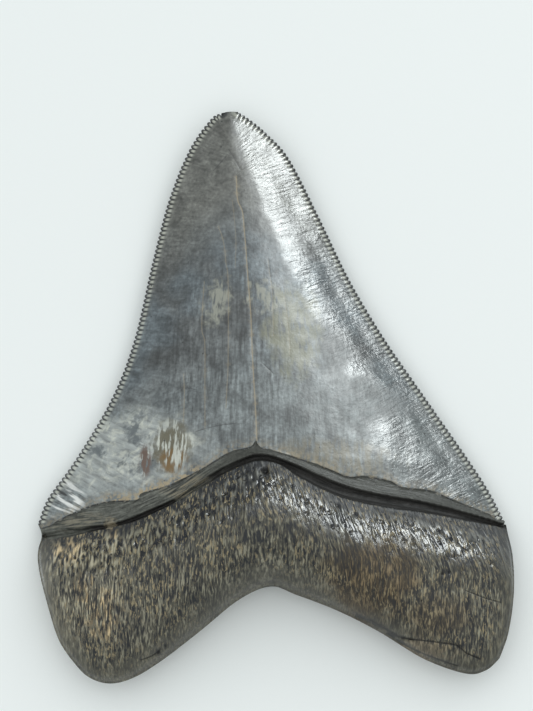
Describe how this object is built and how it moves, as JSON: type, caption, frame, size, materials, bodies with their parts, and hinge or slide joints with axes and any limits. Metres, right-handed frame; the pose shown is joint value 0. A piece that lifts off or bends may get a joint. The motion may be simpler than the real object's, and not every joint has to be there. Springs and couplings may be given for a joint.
{
  "type": "megalodon tooth",
  "caption": "Fossil shark tooth lying flat, inner face up: a triangular serrated crown with worn enamel on a thick two-lobed root.",
  "frame": {"origin": "middle of the tooth's bounding box, on the surface it rests on", "axes": "+X across the tooth's width, +Y towards the crown's tip, +Z out of the domed inner face, up"},
  "size_m": [0.074, 0.0934, 0.0173],
  "materials": {
    "fossil": "glossy grey enamel on the crown, satin porous grey-brown root"
  },
  "bodies": {
    "root": {"tooth": "fossil"}
  },
  "joints": []
}
